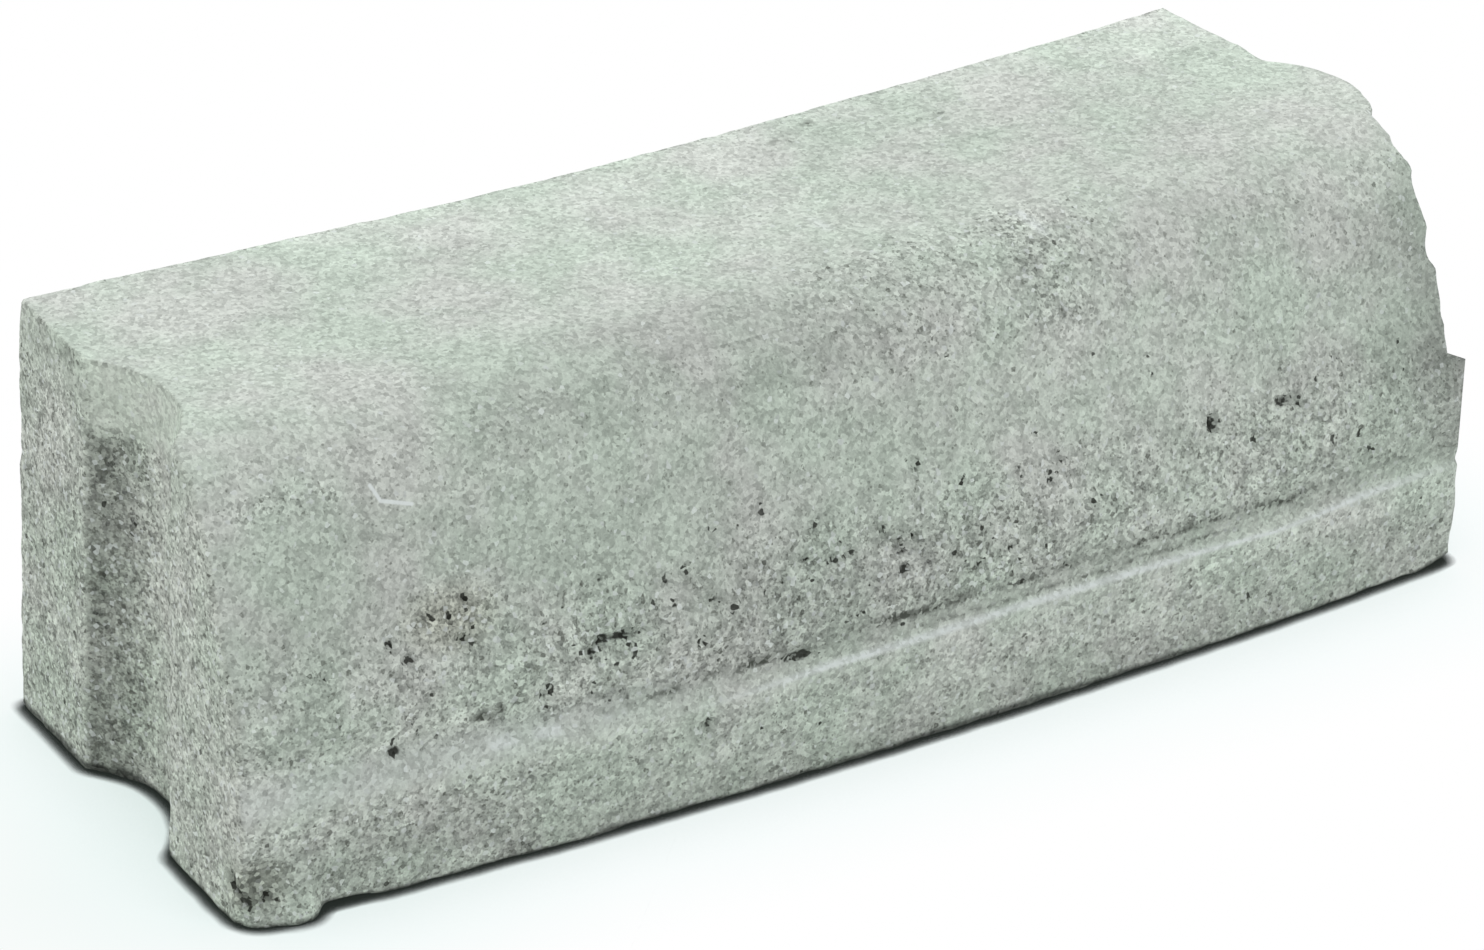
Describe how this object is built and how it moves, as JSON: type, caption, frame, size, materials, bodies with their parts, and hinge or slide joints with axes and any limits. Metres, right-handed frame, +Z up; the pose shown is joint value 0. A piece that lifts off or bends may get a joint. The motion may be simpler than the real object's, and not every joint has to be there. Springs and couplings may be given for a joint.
{
  "type": "concrete kerb stone",
  "caption": "Curved precast concrete kerb stone with a battered road face, rounded nose, low plinth and a tongue and groove joint at its ends; edges a road or path.",
  "frame": {"origin": "on the base, in the middle of its depth and of the stone's turn", "axes": "+X along the stone's length towards the tongue, -Y towards the road, +Z up from the base to the top"},
  "size_m": [0.7878, 0.2742, 0.24],
  "materials": {
    "concrete": "rough cast concrete"
  },
  "bodies": {
    "root": {"kerb_stone": "concrete"}
  },
  "joints": []
}
